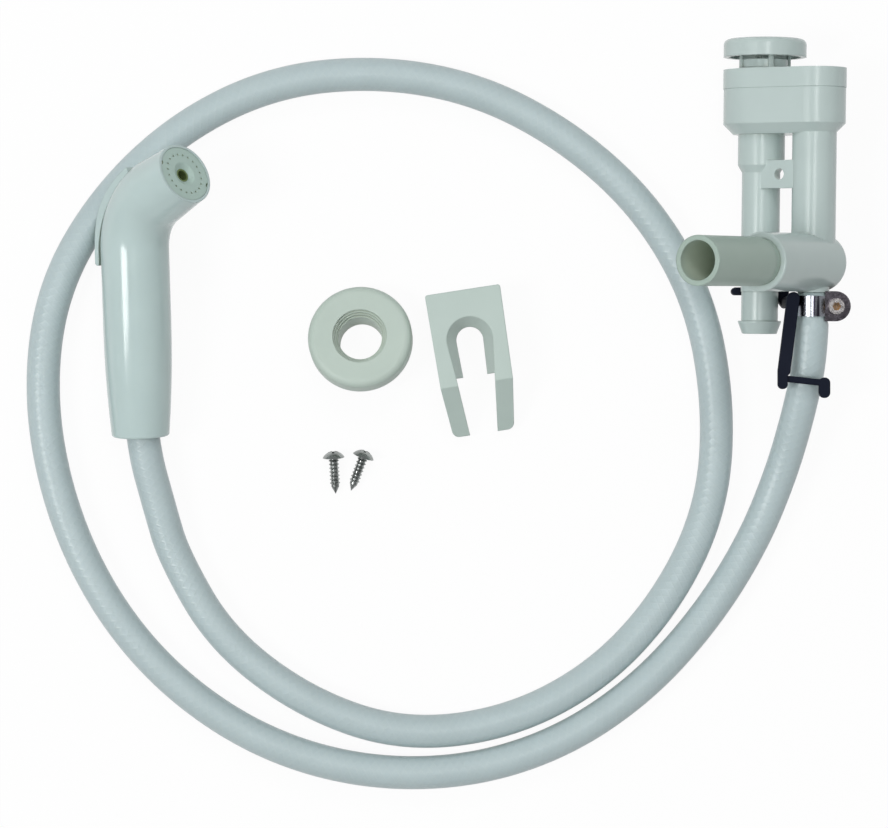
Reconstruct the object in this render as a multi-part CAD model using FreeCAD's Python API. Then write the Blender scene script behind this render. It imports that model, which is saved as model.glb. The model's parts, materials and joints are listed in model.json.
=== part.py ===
"""Hand-spray kit: vacuum breaker, reinforced hose, thumb-lever hand spray and loose fittings.

Millimetres, +Z up, everything lies on the surface Z = 0.  The origin is the bottom centre of
the rigid pieces.  Each assembly is modelled upright in a frame of its own and then laid down:

  breaker  +Z along its tubes towards the cap, +X from the supply tube to the outlet tube,
           -Y along the outlet pipe, origin where outlet tube and outlet pipe cross
  spray    +Z up the handle, +X the way the face looks, origin at the handle's foot
  face     +Z out of the face, origin at its centre
"""
import FreeCAD, Part
import math
import os

from FreeCAD import Vector

# ---------------------------------------------------------------- clearances
FIT = 0.05                  # between a seated piece and its seat
RUNNING = 0.1               # radial, round a turning screw
PIVOT = 0.05                # radial, between the lever and its pin
SLIDE = 0.3                 # between two bodies that slide past each other

# ---------------------------------------------------------------- hose
HOSE_OD = 14.8
HOSE_ID = 10.0
HOSE_NECK_OD = 13.2         # where the clamp squeezes it
FLOOR_LIFT = 0.1            # hose above the surface it lies on
HOSE_STRAIGHT_Z = -38.0     # it leaves the breaker straight as far as this

# ---------------------------------------------------------------- vacuum breaker
BREAKER_AT = Vector(150.8, 0.6, 30.7)
BREAKER_ROLL = 37.0         # degrees about its tubes
BREAKER_PITCH = 2.5         # degrees, cap end up
BREAKER_YAW = 0.4           # degrees, cap end towards +X
TUBE_SPACING = 27.0
OUTLET_TUBE_R = 9.7
OUTLET_TUBE_BORE_R = 7.7
SUPPLY_TOP_R = 10.4
SUPPLY_TOP_BORE_R = 8.6
SUPPLY_R = 8.5
SUPPLY_BORE_R = 6.5
SUPPLY_STEP_Z = 43.0        # top of the cone between the two supply diameters
SUPPLY_CONE_H = 3.2
BARB_R = 8.2
BARB_FLARE_R = 9.6
BARB_TIP_R = 7.7
BARB_TOP_Z = -13.0
BARB_FLARE_Z = -26.0
BARB_TIP_Z = -31.7

HOUSING_R = 17.0            # lobe over the supply tube
HOUSING_SMALL_R = 13.5      # lobe over the outlet tube
HOUSING_Z = 56.6
HOUSING_CHAMFER = 4.4
HOUSING_H = 28.6
HOUSING_WALL = 2.2
LID_SKIRT_H = 8.5
LID_T = 2.6
LID_LIP = 0.2               # lid proud of the housing
LID_SKIRT_T = 1.7
GASKET_T = 1.2

TEE_R = 12.75
TEE_FRONT = 45.0            # socket face, from the tube axis
TEE_BACK = 10.0
TEE_BACK_ROUND = 4.0
TEE_RIM_ROUND = 0.8
OUTLET_PIPE_R = 10.6
OUTLET_PIPE_BORE_R = 8.4
TEE_BORE_R = 8.0            # leaves a stop for the pipe at the socket's bottom
OUTLET_PIPE_END = 95.0      # mouth, from the tube axis
SOCKET_DEPTH = 12.0
PIPE_SPIGOT_R = 10.0        # the pipe's end that goes into the socket
PIPE_SPIGOT_PROUD = 4.0     # of that end, in front of the tee

EAR_Z = 38.8
EAR_H = 12.4
EAR_T = 3.2
EAR_FRONT = 7.4             # front face, from the plane of the tubes
EAR_LEFT = -27.0
EAR_RIGHT = 0.0
EAR_HOLE_R = 2.4
EAR_HOLE_X = -13.4

STUB_R = 7.2                # short boss that carries the hose barb
STUB_Z = -13.0
HOSE_BARB_LENGTH = 20.0

VENT_OFFSET = 1.3           # of vent and cap, from the supply tube towards the outlet tube
CAP_R = 18.3
CAP_H = 8.0
CAP_RECESS = 3.0
CAP_ROUND = 2.6
CAP_RIM_T = 2.4
CAGE_R = 11.5
CAGE_RIB_W = 2.3
CAGE_RIBS = 4
CAGE_RING_H = 1.0
CAGE_H = 5.6
VENT_COLLAR_R = 10.2
VENT_GAP = 1.2              # for air, between the collar and the cap
VENT_R = 6.2

FLOAT_TRAVEL = 5.6
FLOAT_DISC_R = 11.4
FLOAT_DISC_T = 2.2
FLOAT_FIN_GAP = 0.4         # between its guide fins and the supply tube's bore
FLOAT_FIN_T = 1.6
FLOAT_FIN_L = 22.0
FLOAT_SEAL_R = 10.6
FLOAT_SEAL_T = 1.6
FLOAT_SEAT_Z = 66.0
FLOAT_SEAT_T = 1.9

# ---------------------------------------------------------------- hose clamp
CLAMP_Z = -19.1             # middle of the band
CLAMP_W = 9.0
CLAMP_T = 0.6
CLAMP_SCREW_R = 2.0
CLAMP_SCREW_GAP = 0.25      # between worm and band
CLAMP_HEAD_R = 3.5
CLAMP_HEAD_H = 3.0
CLAMP_RECESS_R = 1.9
CLAMP_HOUSING_R = 6.6
CLAMP_HOUSING_T = 1.1
CLAMP_HOUSING_L = 11.0
CLAMP_END_T = 1.2

# ---------------------------------------------------------------- hose hook
HOOK_HALF = 1.7             # half width of bar and web
HOOK_GUSSET_L = 4.5         # in the corner between them
HOOK_STRAP_HALF = 2.7
HOOK_BAR_Z = -12.4          # bar's middle, along the breaker's tubes
HOOK_BAR_REACH = 10.0       # past the supply tube's axis
HOOK_BAND_GAP = 0.3         # between web and clamp
HOOK_WEB_Z = (-15.9, -17.5)             # the web's middle line, along the breaker's tubes
HOOK_STRAP_Z = (34.2, 38.0)             # strap's underside and top
HOOK_STRAP_FOOT = Vector(137.4, -47.0, 0)
HOOK_FOOT_HALF = 2.1
HOOK_FOOT_L = 6.0
HOOK_CROSS_DROP = 3.4       # from the strap's foot to where the cross bar leaves it
HOOK_CROSS_END = Vector(155.2, -52.4, 0)
HOOK_CROSS_HALF = 1.4
HOOK_CROSS_T = 3.4
HOOK_CROSS_LIFT = 0.6       # over the top of the hose
HOOK_TIP_HALF = 2.4
HOOK_TIP_L = 4.2

# ---------------------------------------------------------------- hand spray
SPRAY_AT = Vector(-146.7, -75.6, 0.0)
SPRAY_PITCH = 7.6           # degrees, head up
SPRAY_LEAN = 1.0            # degrees, head to the left
SPRAY_ROLL = 41.6           # degrees that the face looks up
HANDLE_R = 15.1
HANDLE_FOOT_R = 12.75
HANDLE_ARC_Z = 50.0         # where the foot's flare ends
HANDLE_FOOT_ROUND = 0.9
HANDLE_BORE_R = 10.3
ELBOW_R = 28.0
HEAD_ANGLE = 63.9
HEAD_CROSS_Z = 101.0       # handle axis meets head axis
HEAD_LENGTH = 37.15         # from there to the face
FACE_RIM_R = 13.75
HANDLE_BORE_TOP = 88.0

FACE_R = 12.5
FACE_T = 2.2
FACE_INSET = 0.2
FACE_SEAL_T = 1.0
FACE_LEDGE_R = 11.0
FACE_DISH_R = 5.4
FACE_DISH_DEPTH = 1.6
FACE_HUB_R = 4.6
FACE_HUB_L = 3.0
FACE_HOLES = 20
FACE_HOLE_R = 0.45
FACE_HOLE_CIRCLE_R = 9.1
FACE_NOTCHES = (60.0, 240.0)
FACE_NOTCH_W = 1.8
FACE_NOTCH_DEPTH = 0.8
JET_R = 3.0
JET_BORE_R = 2.3
HEAD_CAVITY = 12.0
PASSAGE_R = 3.5

VALVE_Z = 79.0
VALVE_R = 6.0
VALVE_HALF = 8.0
VALVE_BORE_R = 4.2
VALVE_WALL = 1.8
VALVE_PORT_R = 2.3
VALVE_SPIGOT_BORE_R = 1.2
VALVE_SPIGOT_BORE_X = -2.0
SEAL_R = 3.4
SEAL_T = 1.4
STEM_R = 1.5
STEM_HEAD_T = 1.0
STEM_GUIDE = 0.1
SPRING_R = 2.5
SPRING_WIRE_R = 0.35
SPRING_TURNS = 4
SPRING_STEPS = 12           # points of its line, per turn

LEVER_HALF_W = 8.0
LEVER_GAP = 0.5             # between lever and the pocket's sides
LEVER_SWING = 5.0           # degrees
LEVER_PIN_R = 1.25
LEVER_PIN_DEPTH = 9.5       # of the pin, from the axis of the bent body
LEVER_PIN_ANGLE = 42.0      # round the elbow
LEVER_PIN_BITE = 2.0        # of the pin into each side of the handle
LEVER_EAR_R = 2.9
LEVER_NECK_HALF = 2.3
LEVER_PROUD = 4.2           # along the handle
LEVER_BEND_PROUD = 2.0      # half way round the bend
LEVER_TOP_PROUD = 0.1
LEVER_TOP_ANGLE = 57.0
LEVER_FOOT_Z = 75.8
LEVER_FOOT_SLANT = 2.4
LEVER_FOOT_T = 1.2
LEVER_CLEARANCES = (0.4, 0.9, 1.1, 0.5)   # over the pocket floor: foot, level, bend, top
POCKET_DEPTH = 3.0
POCKET_FOOT_Z = 72.0
POCKET_TOP_GAP = 4.0        # degrees beyond the lever's top
POCKET_EAR_GAP = 1.0

HOSE_EXIT_Z = -3.0          # first turn of the hose below the coupling
COUPLING_Z = 20.0
COUPLING_H = 8.0
COUPLING_BARB_L = 12.0
WATER_TUBE_R = 3.5
WATER_TUBE_BORE_R = 2.5
WATER_TUBE_X = 3.0
WATER_BORE_R = 3.5

# ---------------------------------------------------------------- loose fittings
DECK_RING_AT = Vector(-48.6, -33.4, 0.0)
DECK_RING_TILT = 13.0
DECK_RING_TILT_TO = 99.0   # degrees from +X that its top leans towards
DECK_RING_R = 23.2
DECK_RING_H = 9.6
DECK_RING_ROUND = 3.4
DECK_RING_BOSS_R = 13.2
DECK_RING_BOSS_H = 7.8
DECK_RING_MOUTH_R = 12.0
DECK_RING_STEPS = 3
DECK_RING_STEP_DROP = 1.5
DECK_RING_BORE_R = 9.65

HOLDER_AT = Vector(-3.4, -11.0, 0.0)
HOLDER_TURN = -171.2        # degrees: the prongs point down the layout
HOLDER_W = 33.7
HOLDER_BEND_W = 32.4
HOLDER_TIP_W = 27.4
HOLDER_L = 64.4
HOLDER_BEND_Y = 41.9
HOLDER_H = 22.0
HOLDER_ARM_H = 10.5
HOLDER_PRONG_T = 5.0
HOLDER_TIP_H = 4.6
HOLDER_BACK_T = 3.2
HOLDER_SOCKET_Y = 22.4
HOLDER_SOCKET_R = 10.35
HOLDER_SOCKET_FOOT_R = 6.0
HOLDER_SOCKET_END = 38.5
HOLDER_MOUTH_HALF = 8.6
HOLDER_MOUTH_FOOT_HALF = 5.4
HOLDER_TIP_HALF = 6.2
HOLDER_TIP_ROUND = 3.2
HOLDER_WALL_ROUND = 1.2
HOLDER_HOLE_R = 2.5
HOLDER_HOLE_Z = 5.8
HOLDER_HOLE_SPACING = 21.0

SCREW_SHANK_R = 1.75
SCREW_THREAD_R = 2.35
SCREW_PITCH = 1.7
SCREW_L = 16.6
SCREW_HEAD_R = 4.9
SCREW_HEAD_H = 2.9
SCREW_TIP_L = 3.4
SCREW_RECESS_W = 1.1
SCREW_RECESS_L = 5.0
SCREW_RECESS_DEPTH = 1.5
SCREWS = (                  # foot of the head on the surface, heading of the point in degrees
    (Vector(-61.0, -85.5, 0.0), -87.0),
    (Vector(-47.7, -85.1, 0.0), -110.0),
)


# ================================================================ shape helpers
def rod(radius, low, high, x=0.0, y=0.0):
    return Part.makeCylinder(radius, high - low, Vector(x, y, low))


def ring(outer, inner, low, high, x=0.0, y=0.0):
    margin = 1.0
    return rod(outer, low, high, x, y).cut(rod(inner, low - margin, high + margin, x, y))


def rod_to(radius, start, end):
    return Part.makeCylinder(radius, (end - start).Length, start, end - start)


def turned(points):
    """Solid of revolution about Z from an (r, z) outline."""
    corners = [Vector(r, 0, z) for r, z in points]
    outline = Part.makePolygon(corners + corners[:1])
    return Part.Face(outline).revolve(Vector(0, 0, 0), Vector(0, 0, 1), 360)


def block(low, high):
    size = high - low
    return Part.makeBox(size.x, size.y, size.z, low)


def fused(shapes):
    return shapes[0].multiFuse(shapes[1:]).removeSplitter() if len(shapes) > 1 else shapes[0]


def bar(start, end, half_width, low, high):
    """Upright prism whose plan is a round-ended bar."""
    along = Vector(end.x - start.x, end.y - start.y, 0)
    side = Vector(-along.y, along.x, 0).normalize() * half_width
    cap = Vector(along).normalize() * half_width
    lift = Vector(0, 0, low)
    a = Vector(start.x, start.y, 0) + lift
    b = Vector(end.x, end.y, 0) + lift
    edges = [
        Part.LineSegment(a + side, b + side).toShape(),
        Part.Arc(b + side, b + cap, b - side).toShape(),
        Part.LineSegment(b - side, a - side).toShape(),
        Part.Arc(a - side, a - cap, a + side).toShape(),
    ]
    return Part.Face(Part.Wire(edges)).extrude(Vector(0, 0, high - low))


def lobes(big_r, small_r, z):
    """Wire of the housing's two-lobed plan: the big lobe is over the supply tube."""
    centre_big = Vector(-TUBE_SPACING, 0, z)
    centre_small = Vector(0, 0, z)
    turn = math.acos((big_r - small_r) / TUBE_SPACING)
    toward = Vector(math.cos(turn), math.sin(turn), 0)
    mirror = Vector(toward.x, -toward.y, 0)
    edges = [
        Part.LineSegment(centre_big + toward * big_r, centre_small + toward * small_r).toShape(),
        Part.Arc(centre_small + toward * small_r, centre_small + Vector(small_r, 0, 0),
                 centre_small + mirror * small_r).toShape(),
        Part.LineSegment(centre_small + mirror * small_r, centre_big + mirror * big_r).toShape(),
        Part.Arc(centre_big + mirror * big_r, centre_big - Vector(big_r, 0, 0),
                 centre_big + toward * big_r).toShape(),
    ]
    return Part.Wire(edges)


def lobed_prism(inset, low, high):
    """Prism on the housing's plan, drawn in by inset (negative: let out)."""
    plan = lobes(HOUSING_R - inset, HOUSING_SMALL_R - inset, low)
    return Part.Face(plan).extrude(Vector(0, 0, high - low))


def placement(origin, x_axis, y_axis, z_axis):
    """Placement that takes a local frame to the given axes."""
    matrix = FreeCAD.Matrix(
        x_axis.x, y_axis.x, z_axis.x, origin.x,
        x_axis.y, y_axis.y, z_axis.y, origin.y,
        x_axis.z, y_axis.z, z_axis.z, origin.z,
        0, 0, 0, 1)
    return FreeCAD.Placement(matrix)


def placed(shape, *frames):
    """Copy of a shape, taken through its frames from the innermost out."""
    moved = shape.copy()
    for frame in frames:
        moved = moved.transformed(frame.toMatrix())
    return moved


# ================================================================ frames
def breaker_frame():
    roll, pitch, yaw = (math.radians(v) for v in (BREAKER_ROLL, BREAKER_PITCH, BREAKER_YAW))
    z_axis = Vector(math.sin(yaw) * math.cos(pitch), math.cos(yaw) * math.cos(pitch),
                    math.sin(pitch))
    level_x = Vector(math.cos(roll), 0, math.sin(roll))
    y_axis = z_axis.cross(level_x).normalize()
    return placement(BREAKER_AT, y_axis.cross(z_axis), y_axis, z_axis)


def spray_frame():
    pitch, lean, roll = (math.radians(v) for v in (SPRAY_PITCH, SPRAY_LEAN, SPRAY_ROLL))
    z_axis = Vector(-math.sin(lean) * math.cos(pitch), math.cos(lean) * math.cos(pitch),
                    math.sin(pitch))
    level = Vector(math.cos(lean), math.sin(lean), 0)
    up = level.cross(z_axis)
    x_axis = level * math.cos(roll) + up * math.sin(roll)
    foot = SPRAY_AT + Vector(0, 0, HANDLE_FOOT_R * math.cos(pitch))
    return placement(foot, x_axis, z_axis.cross(x_axis), z_axis)


def face_frame():
    """The face's frame, within the spray's."""
    turn = math.radians(HEAD_ANGLE)
    z_axis = Vector(math.sin(turn), 0, math.cos(turn))
    x_axis = Vector(math.cos(turn), 0, -math.sin(turn))
    origin = Vector(0, 0, HEAD_CROSS_Z) + z_axis * HEAD_LENGTH
    return placement(origin, x_axis, Vector(0, 1, 0), z_axis)


def clamp_frame():
    """The clamp's frame, within the breaker's: +Z up the hose, +X level, towards the worm."""
    roll = math.radians(BREAKER_ROLL)
    x_axis = Vector(math.cos(roll), math.sin(roll), 0)
    y_axis = Vector(-math.sin(roll), math.cos(roll), 0)
    return placement(Vector(0, 0, CLAMP_Z), x_axis, y_axis, Vector(0, 0, 1))


def deck_ring_frame():
    tilt, heading = math.radians(DECK_RING_TILT), math.radians(DECK_RING_TILT_TO)
    z_axis = Vector(math.cos(heading) * math.sin(tilt), math.sin(heading) * math.sin(tilt),
                    math.cos(tilt))
    x_axis = Vector(0, 1, 0).cross(z_axis).normalize()
    lift = DECK_RING_R * math.sin(tilt)
    boss = DECK_RING_BOSS_H * math.cos(tilt) + DECK_RING_BOSS_R * math.sin(tilt)
    return placement(DECK_RING_AT + Vector(0, 0, max(lift, boss)), x_axis,
                     z_axis.cross(x_axis), z_axis)


def holder_frame():
    turn = math.radians(HOLDER_TURN)
    x_axis = Vector(math.cos(turn), math.sin(turn), 0)
    return placement(HOLDER_AT, x_axis, Vector(-x_axis.y, x_axis.x, 0), Vector(0, 0, 1))


# ================================================================ vacuum breaker
HOUSING_TOP = HOUSING_Z + HOUSING_H
HOUSING_FLOOR = HOUSING_Z + HOUSING_WALL
REBATE = LID_SKIRT_T - LID_LIP + FIT      # taken off the housing's rim for the lid's skirt
LID_UNDERSIDE = HOUSING_TOP - LID_T
HOUSING_RIM_Z = LID_UNDERSIDE - GASKET_T
SEAL_TOP = FLOAT_SEAT_Z + FLOAT_DISC_T + FLOAT_SEAL_T + SLIDE
VENT_SEAT_Z = SEAL_TOP + FLOAT_TRAVEL + SLIDE
VENT_X = VENT_OFFSET - TUBE_SPACING
NECK_R = HOSE_ID / 2.0 - FIT


def housing_outer():
    body = lobed_prism(0, HOUSING_Z + HOUSING_CHAMFER, HOUSING_TOP - LID_SKIRT_H)
    rim = lobed_prism(REBATE, HOUSING_TOP - LID_SKIRT_H, HOUSING_RIM_Z)
    low = lobes(HOUSING_R - HOUSING_CHAMFER, HOUSING_SMALL_R - HOUSING_CHAMFER, HOUSING_Z)
    high = lobes(HOUSING_R, HOUSING_SMALL_R, HOUSING_Z + HOUSING_CHAMFER)
    chamfer = Part.makeLoft([low, high], True, True)
    return fused([body, rim, chamfer])


def supply_tube_outer():
    upper_foot = SUPPLY_STEP_Z - SUPPLY_CONE_H
    outline = [
        (0, HOUSING_Z + HOUSING_CHAMFER), (SUPPLY_TOP_R, HOUSING_Z + HOUSING_CHAMFER),
        (SUPPLY_TOP_R, SUPPLY_STEP_Z), (SUPPLY_R, upper_foot), (SUPPLY_R, BARB_TOP_Z),
        (BARB_R, BARB_TOP_Z), (BARB_R, BARB_FLARE_Z), (BARB_FLARE_R, BARB_FLARE_Z),
        (BARB_FLARE_R, BARB_FLARE_Z - 0.6), (BARB_TIP_R, BARB_TIP_Z), (0, BARB_TIP_Z),
    ]
    return turned(outline).translated(Vector(-TUBE_SPACING, 0, 0))


def tee_outer():
    barrel = rod_to(TEE_R, Vector(0, TEE_BACK, 0), Vector(0, -TEE_FRONT, 0))
    for end, radius in ((TEE_BACK, TEE_BACK_ROUND), (-TEE_FRONT, TEE_RIM_ROUND)):
        rim = [edge for edge in barrel.Edges if abs(edge.CenterOfMass.y - end) < 0.01]
        barrel = barrel.makeFillet(radius, rim)
    return barrel


def hose_barb(top, length):
    """Barbed spigot down from top, inside the hose, with three shallow ridges."""
    root = NECK_R - 0.45
    ridge = length / 3.0
    outline = [(0, top), (root, top)]
    for index in range(3):
        foot = top - ridge * (index + 1)
        outline += [(root, foot + ridge * 0.6), (NECK_R, foot + ridge * 0.5), (root, foot)]
    outline += [(0, top - length)]
    return turned(outline)


def breaker_body():
    outside = fused([
        housing_outer(),
        supply_tube_outer(),
        rod(OUTLET_TUBE_R, 0, HOUSING_Z + HOUSING_CHAMFER),
        tee_outer(),
        rod(STUB_R, STUB_Z, 0),
        hose_barb(STUB_Z, HOSE_BARB_LENGTH),
        ear(),
        float_seat(),
    ])
    chamber = lobed_prism(HOUSING_WALL + REBATE, HOUSING_FLOOR + HOUSING_CHAMFER, HOUSING_TOP)
    outside = outside.cut(chamber).fuse(float_seat()).removeSplitter()
    cuts = [
        rod(SUPPLY_BORE_R, BARB_TIP_Z - 1, SUPPLY_STEP_Z + 1, -TUBE_SPACING),
        rod(SUPPLY_TOP_BORE_R, SUPPLY_STEP_Z, FLOAT_SEAT_Z + 1, -TUBE_SPACING),
        rod(OUTLET_TUBE_BORE_R, 0, HOUSING_FLOOR + HOUSING_CHAMFER + 1),
        rod_to(TEE_BORE_R, Vector(0, 2, 0), Vector(0, -TEE_FRONT - 1, 0)),
        rod_to(PIPE_SPIGOT_R + FIT, Vector(0, SOCKET_DEPTH - TEE_FRONT, 0),
               Vector(0, -TEE_FRONT - 1, 0)),
        rod(WATER_BORE_R, STUB_Z - HOSE_BARB_LENGTH - 1, 0),
    ]
    return outside.cut(fused_cut(cuts))


def fused_cut(cuts):
    return cuts[0].multiFuse(cuts[1:])


def float_seat():
    return ring(SUPPLY_TOP_BORE_R + FLOAT_SEAT_T, SUPPLY_TOP_BORE_R, HOUSING_Z + HOUSING_CHAMFER,
                FLOAT_SEAT_Z, -TUBE_SPACING)


def ear():
    """Tab with a screw hole, across the front of the two tubes."""
    front = -EAR_FRONT
    tab = block(Vector(EAR_LEFT, front, EAR_Z - EAR_H / 2),
                Vector(EAR_RIGHT, front + EAR_T, EAR_Z + EAR_H / 2))
    return tab.cut(rod_to(EAR_HOLE_R, Vector(EAR_HOLE_X, front - 1, EAR_Z),
                          Vector(EAR_HOLE_X, front + EAR_T + 1, EAR_Z)))


def housing_lid():
    skirt_foot = HOUSING_TOP - LID_SKIRT_H
    shell = lobed_prism(-LID_LIP, skirt_foot, HOUSING_TOP)
    inside = lobed_prism(LID_SKIRT_T - LID_LIP, skirt_foot - 1, LID_UNDERSIDE)
    collar = rod(VENT_COLLAR_R, VENT_SEAT_Z, HOUSING_TOP + CAGE_H - VENT_GAP, VENT_X)
    vent = rod(VENT_R, VENT_SEAT_Z - 1, HOUSING_TOP + CAGE_H, VENT_X)
    return shell.cut(inside).fuse(collar).cut(vent).removeSplitter()


def lid_gasket():
    outer = lobed_prism(REBATE + FIT, HOUSING_RIM_Z, LID_UNDERSIDE)
    inner = lobed_prism(HOUSING_WALL + REBATE, HOUSING_RIM_Z - 1, LID_UNDERSIDE + 1)
    return outer.cut(inner)


def cap_cage():
    """Ring on the lid with upright ribs that hold the cap clear of the vent."""
    foot = ring(CAGE_R, VENT_COLLAR_R + FIT, HOUSING_TOP, HOUSING_TOP + CAGE_RING_H)
    rib_root = block(Vector(VENT_COLLAR_R + FIT, -CAGE_RIB_W / 2, HOUSING_TOP),
                     Vector(CAGE_R + 0.01, CAGE_RIB_W / 2, HOUSING_TOP + CAGE_H + CAP_RECESS))
    ribs = []
    for index in range(CAGE_RIBS):
        rib = rib_root.copy()
        rib.rotate(Vector(0, 0, 0), Vector(0, 0, 1), 45 + index * 360.0 / CAGE_RIBS)
        ribs.append(rib.common(rod(CAGE_R, HOUSING_TOP, HOUSING_TOP + CAGE_H + CAP_RECESS)))
    return fused([foot] + ribs).translated(Vector(VENT_X, 0, 0))


def air_cap():
    foot = HOUSING_TOP + CAGE_H
    disc = rod(CAP_R, foot, foot + CAP_H, VENT_X)
    top = [edge for edge in disc.Edges if abs(edge.CenterOfMass.z - foot - CAP_H) < 0.01]
    disc = disc.makeFillet(CAP_ROUND, top)
    return disc.cut(rod(CAP_R - CAP_RIM_T, foot - 1, foot + CAP_RECESS, VENT_X))


def float_valve():
    """Poppet: a disc over the seat, with guide fins down the supply tube."""
    foot = FLOAT_SEAT_Z + SLIDE
    fin_r = SUPPLY_TOP_BORE_R - FLOAT_FIN_GAP
    disc = rod(FLOAT_DISC_R, foot, foot + FLOAT_DISC_T)
    fins = []
    for turn in (0, 90):
        fin = block(Vector(-fin_r, -FLOAT_FIN_T / 2, foot - FLOAT_FIN_L),
                    Vector(fin_r, FLOAT_FIN_T / 2, foot))
        fin.rotate(Vector(0, 0, 0), Vector(0, 0, 1), turn)
        fins.append(fin)
    return fused([disc] + fins).translated(Vector(-TUBE_SPACING, 0, 0))


def float_seal():
    low = FLOAT_SEAT_Z + SLIDE + FLOAT_DISC_T
    return ring(FLOAT_SEAL_R, FLOAT_SEAL_R / 3.0, low, low + FLOAT_SEAL_T, -TUBE_SPACING)


def outlet_pipe():
    start = Vector(0, SOCKET_DEPTH - TEE_FRONT, 0)
    shoulder = Vector(0, -TEE_FRONT - PIPE_SPIGOT_PROUD, 0)
    end = Vector(0, -OUTLET_PIPE_END, 0)
    past = Vector(0, 1, 0)
    pipe = rod_to(PIPE_SPIGOT_R, start, shoulder).fuse(rod_to(OUTLET_PIPE_R, shoulder, end))
    return pipe.cut(rod_to(OUTLET_PIPE_BORE_R, start + past, end - past))


# ================================================================ hose clamp
BAND_R = HOSE_NECK_OD / 2.0 + FIT
WORM_X = BAND_R + CLAMP_T + CLAMP_SCREW_GAP + CLAMP_SCREW_R


def clamp_band():
    return ring(BAND_R + CLAMP_T, BAND_R, -CLAMP_W / 2, CLAMP_W / 2)


def clamp_housing():
    """D-shaped sleeve round the worm, with an end plate at each end for its bearings."""
    half = CLAMP_HOUSING_L / 2
    near = BAND_R + CLAMP_T + FIT

    def d_solid(inset, low, high):
        radius = CLAMP_HOUSING_R - inset
        round_part = rod_to(radius, Vector(WORM_X, low, 0), Vector(WORM_X, high, 0))
        straight = block(Vector(0, low, -radius), Vector(WORM_X, high, radius))
        return fused([round_part, straight])

    sleeve = d_solid(0, -half, half).cut(
        d_solid(CLAMP_HOUSING_T, CLAMP_END_T - half, half - CLAMP_END_T))
    bearing = rod_to(CLAMP_SCREW_R + RUNNING, Vector(WORM_X, -half - 1, 0),
                     Vector(WORM_X, half + 1, 0))
    sleeve = sleeve.cut(bearing).cut(rod(near, -CLAMP_HOUSING_R - 1, CLAMP_HOUSING_R + 1))
    keep = block(Vector(near * 0.55, -half - 1, -CLAMP_HOUSING_R - 1),
                 Vector(WORM_X + CLAMP_HOUSING_R + 1, half + 1, CLAMP_HOUSING_R + 1))
    return sleeve.common(keep)


def clamp_screw():
    """Worm screw with a round head and a hexagon recess; the head is on the upper side."""
    half = CLAMP_HOUSING_L / 2
    head = -half - SLIDE
    shank = rod_to(CLAMP_SCREW_R, Vector(WORM_X, half + 1.5, 0), Vector(WORM_X, head, 0))
    cap = rod_to(CLAMP_HEAD_R, Vector(WORM_X, head, 0), Vector(WORM_X, head - CLAMP_HEAD_H, 0))
    corners = [Vector(WORM_X + CLAMP_RECESS_R * math.cos(math.radians(60 * i)),
                      head - CLAMP_HEAD_H, CLAMP_RECESS_R * math.sin(math.radians(60 * i)))
               for i in range(7)]
    recess = Part.Face(Part.makePolygon(corners)).extrude(Vector(0, CLAMP_HEAD_H * 0.7, 0))
    return fused([shank, cap]).cut(recess)


# ================================================================ hose route
def breaker_point(x, y, z):
    return breaker_frame().multVec(Vector(x, y, z))


def spray_point(x, y, z):
    return spray_frame().multVec(Vector(x, y, z))


FLOOR_Z = HOSE_OD / 2.0 + FLOOR_LIFT
HOSE_ROUTE = [
    breaker_point(0, 0, STUB_Z),
    breaker_point(0, 0, HOSE_STRAIGHT_Z),
    Vector(146.4, -62.0, 22.5),
    Vector(139.2, -92.0, 11.5),
    Vector(126.5, -124.0, FLOOR_Z),
    Vector(105.5, -157.5, FLOOR_Z),
    Vector(77.0, -189.0, FLOOR_Z),
    Vector(40.5, -213.5, FLOOR_Z),
    Vector(-2.0, -226.5, FLOOR_Z),
    Vector(-49.0, -226.5, FLOOR_Z),
    Vector(-94.0, -213.0, FLOOR_Z),
    Vector(-134.0, -186.0, FLOOR_Z),
    Vector(-164.0, -150.0, FLOOR_Z),
    Vector(-184.0, -106.0, FLOOR_Z),
    Vector(-192.5, -58.0, FLOOR_Z),
    Vector(-187.0, -11.0, FLOOR_Z),
    Vector(-164.5, 29.0, FLOOR_Z),
    Vector(-131.0, 61.5, FLOOR_Z),
    Vector(-89.0, 82.5, FLOOR_Z),
    Vector(-42.0, 87.5, FLOOR_Z),
    Vector(4.0, 79.5, FLOOR_Z),
    Vector(46.0, 57.0, FLOOR_Z),
    Vector(80.0, 25.5, FLOOR_Z),
    Vector(103.0, -15.0, FLOOR_Z),
    Vector(111.5, -62.0, FLOOR_Z),
    Vector(108.5, -107.5, FLOOR_Z),
    Vector(89.0, -149.0, FLOOR_Z),
    Vector(58.0, -183.0, FLOOR_Z),
    Vector(17.0, -204.5, FLOOR_Z),
    Vector(-30.0, -210.0, FLOOR_Z),
    Vector(-73.0, -195.5, FLOOR_Z),
    Vector(-111.0, -167.0, FLOOR_Z),
    Vector(-132.5, -129.5, FLOOR_Z),
    Vector(-138.6, -108.0, 8.6),
    spray_point(0, 0, HOSE_EXIT_Z),
    spray_point(0, 0, COUPLING_Z),
]


def route_height(y):
    """Height of the hose's middle where it passes y on its way down from the breaker."""
    for before, after in zip(HOSE_ROUTE, HOSE_ROUTE[1:]):
        if before.y >= y >= after.y:
            share = (before.y - y) / (before.y - after.y)
            return before.z + (after.z - before.z) * share
    return FLOOR_Z


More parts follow.
